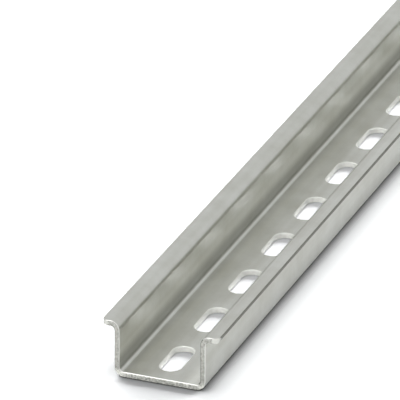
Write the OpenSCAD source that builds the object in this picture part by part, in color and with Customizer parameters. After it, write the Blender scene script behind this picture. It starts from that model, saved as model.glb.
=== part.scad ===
// Top-hat mounting rail for clip-on devices, roll-formed from one strip of
// galvanised steel and punched with a row of slots along its base.
// X runs across the rail, Y along it, and Z up from the back face.

/* [Section] */
// Width over the two flanges, from tip to tip
rail_width = 35; // [33:0.5:40]
// Height from the back face to the tops of the flanges
rail_height = 15; // [12:0.5:20]
// Width of the channel over the outsides of its two webs
channel_width = 27; // [24:0.5:28]
// Thickness of the sheet
sheet = 1.5; // [1.3:0.1:2]
// Inside radius of all four bends
bend_radius = 1.2; // [0.8:0.1:1.6]
// Rounding of the upper edge of each flange tip
tip_round_top = 0.4; // [0.1:0.1:0.5]
// Rounding of the under edge of each flange tip
tip_round_under = 0.8; // [0.1:0.1:0.8]

/* [Length] */
// Length of the cut piece
rail_length = 1000; // [250:25:2000]

/* [Slots] */
// Width of each slot, across the rail
slot_width = 6.2; // [4.5:0.1:8]
// Length of each slot from end to end
slot_length = 15; // [10:0.5:18]
// Distance between the centres of neighbouring slots
slot_pitch = 25; // [20:1:50]
// Distance from the cut end to the centre of the first slot
first_slot = 12.5; // [10:0.5:25]

/* [Hidden] */
$fn = 48;
steel = [0.71, 0.71, 0.68];
// how far a cutter runs past the face it cuts
past = 1;
// outside radius of the bends
bend_outer = bend_radius + sheet;
// the slots start and stop at least this far from a cut end
end_margin = 2;
slot_room = rail_length - first_slot - slot_length / 2 - end_margin;
slot_count = floor(slot_room / slot_pitch) + 1;

// A quarter of a ring in the quadrant that sx and sz point into.
module bend(sx, sz) {
    intersection() {
        difference() {
            circle(r = bend_outer);
            circle(r = bend_radius);
        }
        translate([sx < 0 ? -bend_outer : 0, sz < 0 ? -bend_outer : 0])
            square(bend_outer);
    }
}

// What rounding an outer corner by r takes away, with the corner at the
// origin and the metal lying towards -X, and towards -Z when sz is 1.
module corner_waste(r, sz) {
    difference() {
        translate([-r, sz > 0 ? -r : -past])
            square([r + past, r + past]);
        translate([-r, -sz * r])
            circle(r = r);
        // the strips beside the circle that stay
        translate([-r - past, sz > 0 ? -r - past : -past])
            square([past, r + 2 * past]);
    }
}

// Right half of the section: half the base, one web and one flange.
module half_section() {
    web_inner = channel_width / 2 - sheet;
    // base, up to the start of the lower bend
    square([web_inner - bend_radius, sheet]);
    translate([web_inner - bend_radius, bend_outer])
        bend(1, -1);
    // web, between the two bends
    translate([web_inner, bend_outer])
        square([sheet, rail_height - 2 * bend_outer]);
    translate([channel_width / 2 + bend_radius, rail_height - bend_outer])
        bend(-1, 1);
    // flange, from the upper bend out to its rounded tip
    difference() {
        translate([channel_width / 2 + bend_radius, rail_height - sheet])
            square([rail_width / 2 - channel_width / 2 - bend_radius, sheet]);
        translate([rail_width / 2, rail_height])
            corner_waste(tip_round_top, 1);
        translate([rail_width / 2, rail_height - sheet])
            corner_waste(tip_round_under, -1);
    }
}

// The whole hat section, drawn upright in the X-Z plane.
module section() {
    half_section();
    mirror([1, 0])
        half_section();
}

// One slot with half-round ends, long in Y, centred on the origin.
module slot() {
    straight = slot_length - slot_width;
    translate([-slot_width / 2, -straight / 2])
        square([slot_width, straight]);
    for (s = [-1, 1])
        translate([0, s * straight / 2])
            circle(r = slot_width / 2);
}

// The rail: the section run along Y, less the row of slots in its base.
module rail() {
    color(steel)
        difference() {
            translate([0, rail_length / 2, 0])
                rotate([90, 0, 0])
                    linear_extrude(height = rail_length)
                        section();
            for (i = [0 : slot_count - 1])
                translate([0, -rail_length / 2 + first_slot + i * slot_pitch, -past])
                    linear_extrude(height = sheet + 2 * past)
                        slot();
        }
}

rail();
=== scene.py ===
import math

import bpy
from mathutils import Matrix, Vector


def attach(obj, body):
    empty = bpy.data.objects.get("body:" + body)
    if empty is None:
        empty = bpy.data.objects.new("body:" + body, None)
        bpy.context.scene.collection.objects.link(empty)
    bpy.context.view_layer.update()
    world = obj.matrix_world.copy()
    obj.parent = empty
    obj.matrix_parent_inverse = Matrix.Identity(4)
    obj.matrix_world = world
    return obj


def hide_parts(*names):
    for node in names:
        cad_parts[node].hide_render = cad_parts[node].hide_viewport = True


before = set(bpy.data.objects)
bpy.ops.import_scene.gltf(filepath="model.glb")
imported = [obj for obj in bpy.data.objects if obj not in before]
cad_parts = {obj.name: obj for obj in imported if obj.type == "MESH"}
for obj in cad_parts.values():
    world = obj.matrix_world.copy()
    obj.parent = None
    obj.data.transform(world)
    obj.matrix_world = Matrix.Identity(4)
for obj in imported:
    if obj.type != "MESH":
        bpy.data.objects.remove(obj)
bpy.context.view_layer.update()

# ---------------------------------------------------------------- the rail
# One strip of galvanised sheet steel, 1.5 mm thick, roll-formed into a top-hat
# section, punched with a row of slots and sheared to a length of 1 m.

MM = 0.001  # everything is in metres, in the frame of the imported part
rail_width = 35 * MM
rail_height = 15 * MM
rail_length = 1000 * MM
channel_width = 27 * MM
sheet = 1.5 * MM
bend_radius = 1.2 * MM
bend_outer = bend_radius + sheet
bend_steps = 12
web_x = channel_width / 2 - sheet
base_half = web_x - bend_radius
touching = 1e-6  # corners nearer than this are in the same place
doubled = 1e-7


def pick(obj, kind, wanted):
    """In edit mode, selects just the faces or edges (FACE or EDGE) whose corners wanted() accepts."""
    bpy.ops.mesh.select_all(action="DESELECT")
    bpy.ops.mesh.select_mode(type=kind)
    bpy.ops.object.mode_set(mode="OBJECT")
    mesh = obj.data
    for item in mesh.polygons if kind == "FACE" else mesh.edges:
        item.select = wanted([mesh.vertices[v].co for v in item.vertices])
    bpy.ops.object.mode_set(mode="EDIT")


def long_edge(x, z):
    """Accepts an edge along the rail that lies this far out, on either side, at this height."""
    return lambda corners: all(abs(abs(p.x) - x) < touching and abs(p.z - z) < touching for p in corners)


def weld(threshold):
    """In edit mode, merges all corners of the open mesh that lie nearer than this."""
    bpy.ops.mesh.select_all(action="SELECT")
    bpy.ops.mesh.remove_doubles(threshold=threshold)


def apply(obj, name, kind, **settings):
    """Adds one modifier and applies it."""
    bpy.context.view_layer.objects.active = obj
    modifier = obj.modifiers.new(name, kind)
    for key, value in settings.items():
        setattr(modifier, key, value)
    bpy.ops.object.modifier_apply(modifier=name)


# The strip starts as the upper side of half the base. The bends are spun and
# the flats drawn out of its edge, and then it gets its other half and its gauge.
quarter = math.pi / 2
bpy.ops.object.select_all(action="DESELECT")
bpy.ops.mesh.primitive_plane_add(size=1, location=(base_half / 2, 0, sheet))
rail = bpy.context.object
rail.name = "rail_strip"
rail.scale = (base_half, rail_length, 1)
bpy.ops.object.transform_apply(location=True, rotation=True, scale=True)
bpy.ops.object.mode_set(mode="EDIT")

pick(rail, "EDGE", long_edge(base_half, sheet))
lower_centre = (base_half, 0, bend_outer)
bpy.ops.mesh.spin(steps=bend_steps, angle=quarter, center=lower_centre, axis=(0, 1, 0))
pick(rail, "EDGE", long_edge(web_x, bend_outer))
web_rise = (0, 0, rail_height - 2 * bend_outer)
bpy.ops.mesh.extrude_region_move(TRANSFORM_OT_translate={"value": web_rise})

pick(rail, "EDGE", long_edge(web_x, rail_height - bend_outer))
upper_centre = (web_x + bend_outer, 0, rail_height - bend_outer)
bpy.ops.mesh.spin(steps=bend_steps, angle=quarter, center=upper_centre, axis=(0, -1, 0))
pick(rail, "EDGE", long_edge(web_x + bend_outer, rail_height))
flange_reach = (rail_width / 2 - web_x - bend_outer, 0, 0)
bpy.ops.mesh.extrude_region_move(TRANSFORM_OT_translate={"value": flange_reach})

weld(doubled)
bpy.ops.mesh.normals_make_consistent(inside=False)
bpy.ops.object.mode_set(mode="OBJECT")
if sum(face.normal.z for face in rail.data.polygons) < 0:
    rail.data.flip_normals()
apply(rail, "other half", "MIRROR", use_axis=(True, False, False), use_clip=True, merge_threshold=touching)
apply(rail, "gauge", "SOLIDIFY", thickness=sheet, offset=-1, use_even_offset=True)

# The slitter leaves the long edges rounded, more so underneath, and the shear
# leaves a rounded rim all round each cut end.
tip_round_top = 0.4 * MM
tip_round_under = 0.8 * MM
end_rim = 0.26 * MM
square_edge = math.radians(70)
bpy.ops.object.mode_set(mode="EDIT")
for z, radius in ((rail_height, tip_round_top), (rail_height - sheet, tip_round_under)):
    pick(rail, "EDGE", long_edge(rail_width / 2, z))
    bpy.ops.mesh.bevel(offset=radius, offset_type="OFFSET", segments=5, profile=0.5, affect="EDGES")
bpy.ops.mesh.select_all(action="DESELECT")
bpy.ops.mesh.select_mode(type="EDGE")
bpy.ops.mesh.edges_select_sharp(sharpness=square_edge)
bpy.ops.mesh.bevel(
    offset=end_rim, offset_type="OFFSET", segments=3, profile=0.5, affect="EDGES", clamp_overlap=True
)
weld(doubled)
bpy.ops.mesh.normals_make_consistent(inside=False)
bpy.ops.object.mode_set(mode="OBJECT")

# The punch is a bar with half-round ends. It flares at the top, because the
# sheet rolls over a little where the tool enters.
slot_width = 6.2 * MM
slot_length = 15 * MM
slot_pitch = 25 * MM
first_slot = 12.5 * MM
roll_over = 0.32 * MM
overrun = 1 * MM
punch_y = -rail_length / 2 + first_slot
flare_z = sheet - roll_over
flare_steps = 5
flare_turn = math.radians(84)
flare_stretch = 1.02  # the flare ends a hair above the sheet, so that it breaks through
just_short = 0.9999  # the bar's rounded corners all but meet in pairs, and are then welded
pair_gap = 0.01 * MM
bpy.ops.object.select_all(action="DESELECT")
bpy.ops.mesh.primitive_cube_add(size=1, location=(0, punch_y, (flare_z - overrun) / 2))
punch = bpy.context.object
punch.name = "punch"
punch.scale = (slot_width, slot_length, flare_z + overrun)
bpy.ops.object.transform_apply(location=True, rotation=True, scale=True)
bpy.ops.object.mode_set(mode="EDIT")
pick(punch, "EDGE", lambda corners: abs(corners[0].z - corners[1].z) > touching)
bpy.ops.mesh.bevel(
    offset=slot_width / 2 * just_short, offset_type="OFFSET", segments=14, profile=0.5, affect="EDGES"
)
weld(pair_gap)
pick(punch, "FACE", lambda corners: all(p.z > flare_z - touching for p in corners))
before_x, before_y, before_z = slot_width / 2, slot_length / 2, flare_z
for step in range(1, flare_steps + 1):
    angle = flare_turn * step / flare_steps
    wider = roll_over * (1 - math.cos(angle))
    now_x, now_y = slot_width / 2 + wider, slot_length / 2 + wider
    now_z = flare_z + roll_over * math.sin(angle) * flare_stretch
    bpy.ops.mesh.extrude_region_move(TRANSFORM_OT_translate={"value": (0, 0, now_z - before_z)})
    bpy.ops.transform.resize(value=(now_x / before_x, now_y / before_y, 1), center_override=(0, punch_y, 0))
    before_x, before_y, before_z = now_x, now_y, now_z
bpy.ops.mesh.extrude_region_move(TRANSFORM_OT_translate={"value": (0, 0, overrun)})
bpy.ops.mesh.select_all(action="SELECT")
bpy.ops.mesh.normals_make_consistent(inside=False)
bpy.ops.object.mode_set(mode="OBJECT")
apply(
    punch,
    "row",
    "ARRAY",
    count=round((rail_length - 2 * first_slot) / slot_pitch) + 1,
    use_relative_offset=False,
    use_constant_offset=True,
    constant_offset_displace=(0, slot_pitch, 0),
)

# The nibbler takes off the flanges' corners in a small round where the rail is
# sheared. It is a block with a round bar taken out of it, once for each corner.
corner_round = 2.2 * MM
past_tip = 0.01 * MM  # the bar is this much bigger, so that it doesn't graze the flange's edges
block = corner_round + overrun
corner_x = rail_width / 2 - corner_round
corner_y = -rail_length / 2 + corner_round
corner_z = rail_height - sheet / 2
bpy.ops.object.select_all(action="DESELECT")
bpy.ops.mesh.primitive_cylinder_add(
    vertices=96, radius=corner_round + past_tip, depth=4 * sheet, location=(corner_x, corner_y, corner_z)
)
round_bar = bpy.context.object
bpy.ops.object.select_all(action="DESELECT")
bpy.ops.mesh.primitive_cube_add(size=1, location=(corner_x + block / 2, corner_y - block / 2, corner_z))
nibbler = bpy.context.object
nibbler.name = "nibbler"
nibbler.scale = (block, block, 2 * sheet)
apply(nibbler, "round", "BOOLEAN", object=round_bar, operation="DIFFERENCE", solver="EXACT")
bpy.data.objects.remove(round_bar)
bpy.context.view_layer.objects.active = nibbler
nibbler.select_set(True)
bpy.ops.object.transform_apply(location=True, rotation=True, scale=True)
apply(nibbler, "four corners", "MIRROR", use_axis=(True, True, False), use_mirror_merge=False)


def linear(hex_colour):
    """An sRGB hex colour as Blender's linear red, green, blue and alpha."""
    parts = [int(hex_colour[i : i + 2], 16) / 255 for i in (1, 3, 5)]
    return tuple(c / 12.92 if c <= 0.04045 else ((c + 0.055) / 1.055) ** 2.4 for c in parts) + (1.0,)


def add_node(tree, kind, settings=(), **links):
    """Adds a node with its settings, fields or sockets, and its links, each from a (node, output).

    A link is named for its socket, with _ for a space, or _0, _1 and so on for a socket's number.
    """
    node = tree.nodes.new(kind)
    for name, value in dict(settings).items():
        if isinstance(name, str) and hasattr(node, name) and name not in node.inputs:
            setattr(node, name, value)
        else:
            node.inputs[name].default_value = value
    for name, (source, output) in links.items():
        socket = int(name[1:]) if name[0] == "_" else name.replace("_", " ")
        tree.links.new(source.outputs[output], node.inputs[socket])
    return node


def new_material(name):
    """A material that holds just a shader and its output."""
    made = bpy.data.materials.new(name)
    made.use_nodes = True
    tree = made.node_tree
    tree.nodes.clear()
    shader = tree.nodes.new("ShaderNodeBsdfPrincipled")
    out = tree.nodes.new("ShaderNodeOutputMaterial")
    tree.links.new(shader.outputs["BSDF"], out.inputs["Surface"])
    return made, tree, shader


def bare_steel(name, colour, roughness):
    """Bare steel of one even tone, for edges a millimetre or two wide."""
    made, _, shader = new_material(name)
    shader.inputs["Metallic"].default_value = 1.0
    shader.inputs["Base Color"].default_value = linear(colour)
    shader.inputs["Roughness"].default_value = roughness
    return made


# Zinc-plated steel, clear-passivated and then rolled: a soft satin grey, a
# little warm, with faint bands along the strip from the rolls and cloudy patches.
zinc, zinc_tree, zinc_shader = new_material("zinc_plated_steel")
zinc_shader.inputs["Metallic"].default_value = 1.0
band_width = 3.03 * MM
band_length = 400 * MM
cloud_size = 10 * MM
noise_low, noise_high = 0.3, 0.7  # nearly all of a noise lies between these
place = add_node(zinc_tree, "ShaderNodeTexCoord")
drawn = add_node(
    zinc_tree,
    "ShaderNodeMapping",
    {"Scale": (1 / band_width, 1 / band_length, 1 / band_width)},
    Vector=(place, "Object"),
)
bands = add_node(
    zinc_tree,
    "ShaderNodeTexNoise",
    {"Scale": 1.0, "Detail": 3.0, "Roughness": 0.45},
    Vector=(drawn, "Vector"),
)
clouds = add_node(
    zinc_tree,
    "ShaderNodeTexNoise",
    {"Scale": 1 / cloud_size, "Detail": 4.0, "Roughness": 0.6},
    Vector=(place, "Object"),
)
mottle = add_node(
    zinc_tree,
    "ShaderNodeMix",
    {"data_type": "FLOAT", 0: 0.5},
    _2=(bands, "Fac"),
    _3=(clouds, "Fac"),
)
tint = add_node(zinc_tree, "ShaderNodeValToRGB", Fac=(mottle, 0))
dull_end, bright_end = tint.color_ramp.elements
dull_end.position, bright_end.position = 0.37, 0.63
dull_end.color, bright_end.color = linear("#cdcdc4"), linear("#e1e2dc")

# Each web has a band of painted shade along its inner face, just above the bend,
# where a darker reflection falls. The band fades in over its foot and out over its head.
shaded_band_tone = 0.52
foot_from, foot_to = 1.5 * MM, 2.6 * MM
head_from, head_to = 3.8 * MM, 7.4 * MM
inner_face = web_x + 0.6 * MM
where = add_node(zinc_tree, "ShaderNodeSeparateXYZ", Vector=(place, "Object"))
band_foot = add_node(
    zinc_tree,
    "ShaderNodeMapRange",
    {"interpolation_type": "SMOOTHSTEP", "From Min": foot_from, "From Max": foot_to},
    Value=(where, "Z"),
)
band_head = add_node(
    zinc_tree,
    "ShaderNodeMapRange",
    {
        "interpolation_type": "SMOOTHSTEP",
        "From Min": head_from,
        "From Max": head_to,
        "To Min": 1.0,
        "To Max": 0.0,
    },
    Value=(where, "Z"),
)
side = add_node(zinc_tree, "ShaderNodeMath", {"operation": "ABSOLUTE"}, _0=(where, "X"))
inside = add_node(zinc_tree, "ShaderNodeMath", {"operation": "LESS_THAN", 1: inner_face}, _0=(side, 0))
band = add_node(
    zinc_tree,
    "ShaderNodeMath",
    {"operation": "MULTIPLY"},
    _0=(band_foot, "Result"),
    _1=(band_head, "Result"),
)
# painted shade: this band darkens the web's inner face
painted_band_shade = add_node(zinc_tree, "ShaderNodeMath", {"operation": "MULTIPLY"}, _0=(band, 0), _1=(inside, 0))

# Painted light: the base is painted brighter towards its bends, a painted sheen.
sheen_from, sheen_to = 5.5 * MM, 9.5 * MM
sheen_gain = 0.24
base_top = sheet + 0.05 * MM
# painted sheen: the base grows lighter towards its bends
painted_sheen = add_node(
    zinc_tree,
    "ShaderNodeMapRange",
    {"interpolation_type": "SMOOTHSTEP", "From Min": sheen_from, "From Max": sheen_to, "To Max": sheen_gain},
    Value=(side, 0),
)
on_base = add_node(zinc_tree, "ShaderNodeMath", {"operation": "LESS_THAN", 1: base_top}, _0=(where, "Z"))
sheen_scale = add_node(
    zinc_tree,
    "ShaderNodeMath",
    {"operation": "MULTIPLY_ADD", 2: 1.0},
    _0=(painted_sheen, "Result"),
    _1=(on_base, 0),
)
shade = add_node(
    zinc_tree,
    "ShaderNodeMapRange",
    {"To Max": shaded_band_tone},
    Value=(painted_band_shade, 0),
    To_Min=(sheen_scale, 0),
)
toned = add_node(
    zinc_tree,
    "ShaderNodeVectorMath",
    {"operation": "SCALE"},
    _0=(tint, "Color"),
    Scale=(shade, "Result"),
)
rough = add_node(
    zinc_tree,
    "ShaderNodeMapRange",
    {"From Min": noise_low, "From Max": noise_high, "To Min": 0.28, "To Max": 0.36},
    Value=(bands, "Fac"),
)
zinc_tree.links.new(toned.outputs[0], zinc_shader.inputs["Base Color"])
zinc_tree.links.new(rough.outputs["Result"], zinc_shader.inputs["Roughness"])

# Sheared steel: the blade tears through the strip and leaves each end grainy,
# dull grey flecked with bright. The cut at the base is painted brighter than at
# the webs, as painted light.
torn, torn_tree, torn_shader = new_material("sheared_end_steel")
torn_shader.inputs["Metallic"].default_value = 1.0
torn_shader.inputs["Roughness"].default_value = 0.5
grain_size = MM / 1.4  # finer on the real rail, and drawn as coarse as it needs to show
base_light_from, base_light_to = 0.9 * sheet, 1.6 * sheet
base_light_gain = 1.9
torn_place = add_node(torn_tree, "ShaderNodeTexCoord")
grains = add_node(
    torn_tree,
    "ShaderNodeTexNoise",
    {"Scale": 1 / grain_size, "Detail": 2.0},
    Vector=(torn_place, "Object"),
)
grain_spread = add_node(
    torn_tree,
    "ShaderNodeMapRange",
    {"From Min": noise_low, "From Max": noise_high},
    Value=(grains, "Fac"),
)
torn_tint = add_node(
    torn_tree,
    "ShaderNodeMix",
    {"data_type": "RGBA", 6: linear("#8c8c85"), 7: linear("#bebeb8")},
    _0=(grain_spread, "Result"),
)
torn_where = add_node(torn_tree, "ShaderNodeSeparateXYZ", Vector=(torn_place, "Object"))
# painted light: brightens the cut end of the base
painted_base_light = add_node(
    torn_tree,
    "ShaderNodeMapRange",
    {"From Min": base_light_from, "From Max": base_light_to, "To Min": base_light_gain, "To Max": 1.0},
    Value=(torn_where, "Z"),
)
torn_toned = add_node(
    torn_tree,
    "ShaderNodeVectorMath",
    {"operation": "SCALE"},
    _0=(torn_tint, 2),
    Scale=(painted_base_light, "Result"),
)
torn_tree.links.new(torn_toned.outputs[0], torn_shader.inputs["Base Color"])

# The other edges are bare steel too. The punch leaves the slots' walls bright
# and smeared, and the nibbler leaves its arcs smooth. Each end's rim is one steel
# in a painted highlight and a painted shade copy, and the flange tips' edges are painted shade.
punched = bare_steel("punched_edge_steel", "#f4f4f0", 0.75)
nibbled = bare_steel("nipped_corner_steel", "#c0c0ba", 0.4)
lit_rim = bare_steel("painted_highlight_rim_steel", "#ecece8", 0.35)
shaded_rim = bare_steel("painted_shade_rim_steel", "#44443f", 0.5)
tip_shade = bare_steel("tip_painted_shade_steel", "#7f7f78", 0.5)

# Each face gets its finish by the way that it faces: a sheared end squarely along the
# rail, a rim aslant with painted highlight facing right and up and painted shade elsewhere, and painted
# shade outwards at a flange's tip.
end_facing = 0.95
rim_facing = 0.15
tip_facing = 0.5
tip_underside = -0.2
finishes = (zinc, torn, tip_shade, lit_rim, shaded_rim)
rail.data.materials.clear()
for finish in finishes:
    rail.data.materials.append(finish)
for face in rail.data.polygons:
    normal = face.normal
    at_tip = abs(face.center.x) > rail_width / 2 - tip_round_top
    finish = zinc
    if abs(normal.y) > end_facing:
        finish = torn
    elif abs(normal.y) > rim_facing:
        # painted highlight on rims that face right and up, painted shade on the others
        finish = lit_rim if normal.x + normal.z > 0 else shaded_rim
    # painted shade on the outer edges at the flanges' tips
    elif at_tip and abs(normal.x) > tip_facing and normal.z > tip_underside:
        finish = tip_shade
    face.material_index = finishes.index(finish)

# The tools cut the strip, and each leaves its own finish on what it cuts.
sliver = 2e-7
for tool, finish in ((punch, punched), (nibbler, nibbled)):
    tool.data.materials.clear()
    tool.data.materials.append(finish)
    apply(
        rail, "cut", "BOOLEAN", object=tool, operation="DIFFERENCE", solver="EXACT", material_mode="TRANSFER"
    )
    bpy.data.objects.remove(tool)
    bpy.context.view_layer.objects.active = rail
    bpy.ops.object.mode_set(mode="EDIT")
    weld(sliver)
    bpy.ops.object.mode_set(mode="OBJECT")
bpy.context.view_layer.objects.active = rail
rail.select_set(True)
bpy.ops.object.shade_smooth_by_angle(angle=math.radians(40))
apply(rail, "flat faces", "WEIGHTED_NORMAL", mode="FACE_AREA", weight=80, keep_sharp=True)

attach(rail, "root")
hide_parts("rail")

# ---------------------------------------------------------------- the floor
# A sheet of white studio paper, matt and plain to the lamps, so that it keeps
# the soft shadow of the rail that lies on it.
floor_size = 6
bpy.ops.object.select_all(action="DESELECT")
bpy.ops.mesh.primitive_plane_add(size=1, location=(0, 0, 0))
floor = bpy.context.object
floor.name = "studio_floor"
floor.scale = (floor_size, floor_size, 1)
bpy.ops.object.transform_apply(location=True, rotation=True, scale=True)
paper, paper_tree, paper_shader = new_material("white_paper")
paper_shader.inputs["Roughness"].default_value = 1.0
paper_shader.inputs["Specular IOR Level"].default_value = 0.0

# To the camera the paper is white, with a painted contact shadow within 3 mm of the
# steel, where the two almost touch. In the slots and at the rail's left that painted shadow is only a thin
# line, and in the slots the paper is painted whiter, as painted light.
white, slot_painted_white = 1.42, 1.9
wide_reach, narrow_reach = 3 * MM, 0.7 * MM
darkest = 0.1
paper_place = add_node(paper_tree, "ShaderNodeTexCoord")
paper_ray = add_node(paper_tree, "ShaderNodeLightPath")
spot = add_node(paper_tree, "ShaderNodeSeparateXYZ", Vector=(paper_place, "Object"))
spot_side = add_node(paper_tree, "ShaderNodeMath", {"operation": "ABSOLUTE"}, _0=(spot, "X"))
in_row = add_node(
    paper_tree,
    "ShaderNodeMath",
    {"operation": "LESS_THAN", 1: slot_width},
    _0=(spot_side, 0),
)
past_cut = add_node(
    paper_tree,
    "ShaderNodeMath",
    {"operation": "GREATER_THAN", 1: -rail_length / 2},
    _0=(spot, "Y"),
)
in_slot = add_node(paper_tree, "ShaderNodeMath", {"operation": "MULTIPLY"}, _0=(in_row, 0), _1=(past_cut, 0))
at_left = add_node(paper_tree, "ShaderNodeMath", {"operation": "LESS_THAN", 1: -web_x}, _0=(spot, "X"))
near_steel = add_node(
    paper_tree,
    "ShaderNodeMath",
    {"operation": "MAXIMUM"},
    _0=(in_slot, 0),
    _1=(at_left, 0),
)
reach = add_node(
    paper_tree,
    "ShaderNodeMapRange",
    {"To Min": wide_reach, "To Max": narrow_reach},
    Value=(near_steel, 0),
)
# painted light: the paper is whiter in the slots
whiteness = add_node(
    paper_tree,
    "ShaderNodeMapRange",
    {"To Min": white, "To Max": slot_painted_white},
    Value=(in_slot, 0),
)
# painted contact shadow, darkest where the paper meets the steel
painted_contact_shadow = add_node(
    paper_tree,
    "ShaderNodeAmbientOcclusion",
    {"samples": 24},
    Distance=(reach, "Result"),
)
close_shade = add_node(
    paper_tree,
    "ShaderNodeMapRange",
    {"From Min": darkest},
    Value=(painted_contact_shadow, "AO"),
    To_Max=(whiteness, "Result"),
)

# In the metal the paper is plain beside the rail and as white before the cut end
# as the camera sees it. In the slots it is whiter, painted light for the slot walls to mirror.
# Light that comes round again by way of the rail meets a painted dark tone, painted shade that keeps the
# shadow deep.
mirrored_beside, slot_mirrored_painted_light = 0.97, 2.2
returned_light = 0.3
beside = add_node(
    paper_tree,
    "ShaderNodeMapRange",
    {"To Min": white, "To Max": mirrored_beside},
    Value=(past_cut, 0),
)
mirrored = add_node(
    paper_tree,
    "ShaderNodeMapRange",
    {"To Max": slot_mirrored_painted_light},
    Value=(in_slot, 0),
    To_Min=(beside, "Result"),
)
returned = add_node(
    paper_tree,
    "ShaderNodeMapRange",
    {"To Max": returned_light},
    Value=(paper_ray, "Diffuse Depth"),
    To_Min=(mirrored, "Result"),
)
bleached = add_node(
    paper_tree,
    "ShaderNodeMix",
    {"data_type": "FLOAT"},
    _0=(paper_ray, "Is Camera Ray"),
    _2=(returned, "Result"),
    _3=(close_shade, "Result"),
)
paper_tree.links.new(bleached.outputs[0], paper_shader.inputs["Base Color"])
floor.data.materials.append(paper)

# ---------------------------------------------------------------- the light
# A broad low screen stands behind the rail and a small lamp hangs overhead.
# They light the paper, at a plain level, and throw the short soft shadow.
screen_az = math.radians(-5)
screen_away = 4.5
screen_width, screen_height = 18.0, 2.385
screen_power = 2440.0
screen_data = bpy.data.lights.new("back_screen", "AREA")
screen_data.shape = "RECTANGLE"
screen_data.size, screen_data.size_y = screen_width, screen_height
screen_data.energy = screen_power
screen_data.color = (0.98, 0.993, 1.0)
screen = bpy.data.objects.new("back_screen", screen_data)
bpy.context.collection.objects.link(screen)
away = Vector((math.sin(screen_az), math.cos(screen_az), 0))
screen.location = Vector((0, -rail_length / 2, screen_height / 2)) + away * screen_away
screen.rotation_mode = "QUATERNION"
screen.rotation_quaternion = away.to_track_quat("Z", "Y")

lamp_data = bpy.data.lights.new("overhead_lamp", "SUN")
lamp_data.energy = 0.65
lamp_data.angle = math.radians(24)
lamp_data.color = (0.975, 0.99, 1.0)
lamp = bpy.data.objects.new("overhead_lamp", lamp_data)
bpy.context.collection.objects.link(lamp)
for light in (screen, lamp):
    light.visible_camera = False
    light.visible_glossy = False

# What the metal mirrors is a white tent round it all: even walls, a little
# brighter at the near side, and a small panel high up that shines on the rims.
# The paper gets only a plain fill from it.
fill = 0.05
wall_seen = 0.68
right_seen, right_way, right_spread = 0.05, Vector((1.0, 0.0, 0.0)), 1.0
front_seen, front_way, front_spread = 0.4, Vector((-0.2, -0.95, 0.25)), 1.5
panel_seen, panel_way, panel_spread = 4.2, Vector((-0.35, -0.4, 0.81)), 26.0
tent = bpy.data.worlds.new("light_tent")
bpy.context.scene.world = tent
tent.use_nodes = True
tent.cycles.sampling_method = "NONE"
tent_tree = tent.node_tree
looking = add_node(tent_tree, "ShaderNodeTexCoord")


def glow(way, power, strength, under):
    """Adds a soft glow, centred this way from the rail, to what the tent has already."""
    dot = add_node(
        tent_tree,
        "ShaderNodeVectorMath",
        {"operation": "DOT_PRODUCT", 1: way.normalized()},
        _0=(looking, "Generated"),
    )
    facing = add_node(tent_tree, "ShaderNodeMath", {"operation": "MAXIMUM", 1: 0.0}, _0=(dot, "Value"))
    soft = add_node(tent_tree, "ShaderNodeMath", {"operation": "POWER", 1: power}, _0=(facing, 0))
    return add_node(
        tent_tree,
        "ShaderNodeMath",
        {"operation": "MULTIPLY_ADD", 1: strength},
        _0=(soft, 0),
        _2=(under, 0),
    )


walls = add_node(tent_tree, "ShaderNodeValue")
walls.outputs[0].default_value = wall_seen
right_wall = glow(right_way, right_spread, right_seen, walls)
front_wall = glow(front_way, front_spread, front_seen, right_wall)
with_panel = glow(panel_way, panel_spread, panel_seen, front_wall)
ray = add_node(tent_tree, "ShaderNodeLightPath")
camera_or_glossy = add_node(
    tent_tree,
    "ShaderNodeMath",
    {"operation": "MAXIMUM"},
    _0=(ray, "Is Camera Ray"),
    _1=(ray, "Is Glossy Ray"),
)
seen = add_node(
    tent_tree,
    "ShaderNodeMath",
    {"operation": "MAXIMUM"},
    _0=(camera_or_glossy, 0),
    _1=(ray, "Is Transmission Ray"),
)
# what reaches the paper by way of the metal is the plain fill too
direct = add_node(
    tent_tree,
    "ShaderNodeMath",
    {"operation": "LESS_THAN", 1: 0.5},
    _0=(ray, "Diffuse Depth"),
)
mirror = add_node(tent_tree, "ShaderNodeMath", {"operation": "MULTIPLY"}, _0=(seen, 0), _1=(direct, 0))
level = add_node(
    tent_tree,
    "ShaderNodeMix",
    {"data_type": "FLOAT", 2: fill},
    _0=(mirror, 0),
    _3=(with_panel, 0),
)
backdrop = tent_tree.nodes["Background"]
backdrop.inputs["Color"].default_value = (0.985, 0.993, 1.0, 1.0)
tent_tree.links.new(level.outputs[0], backdrop.inputs["Strength"])

# ---------------------------------------------------------------- the camera
# A view camera on a tall stand. Its film is kept upright, so that upright edges
# stay parallel, and its lens is dropped to take in the near end.
film_az = math.radians(20.575)
film_width = 36
focal_length = 569.223  # in millimetres, square to the film
drop, sideways = 0.4423, 0.0353
to_right, to_height, to_back = 72.281 * MM, 817.309 * MM, 1733.819 * MM
near_end = Vector((0, -rail_length / 2, 0))
across = Vector((math.cos(film_az), math.sin(film_az), 0))
upright = Vector((0, 0, 1))
ahead = Vector((-math.sin(film_az), math.cos(film_az), 0))
camera_at = near_end + across * to_right + upright * to_height - ahead * to_back
sight = ahead - upright * drop - across * sideways
backward = -sight.normalized()
camera_data = bpy.data.cameras.new("view_camera")
camera_data.sensor_width = film_width
camera_data.lens = focal_length * sight.length
camera_data.clip_start, camera_data.clip_end = 0.05, 50
camera = bpy.data.objects.new("view_camera", camera_data)
bpy.context.collection.objects.link(camera)
stand = bpy.data.objects.new("camera_stand", None)
bpy.context.collection.objects.link(stand)
camera.parent = stand
# the stand's matrix gives the camera a film that isn't square to its line of sight
camera.matrix_parent_inverse = Matrix(
    [(across[i], upright[i], backward[i], camera_at[i]) for i in range(3)] + [(0, 0, 0, 1)]
)
bpy.context.scene.camera = camera
bpy.context.scene.view_settings.view_transform = "Standard"
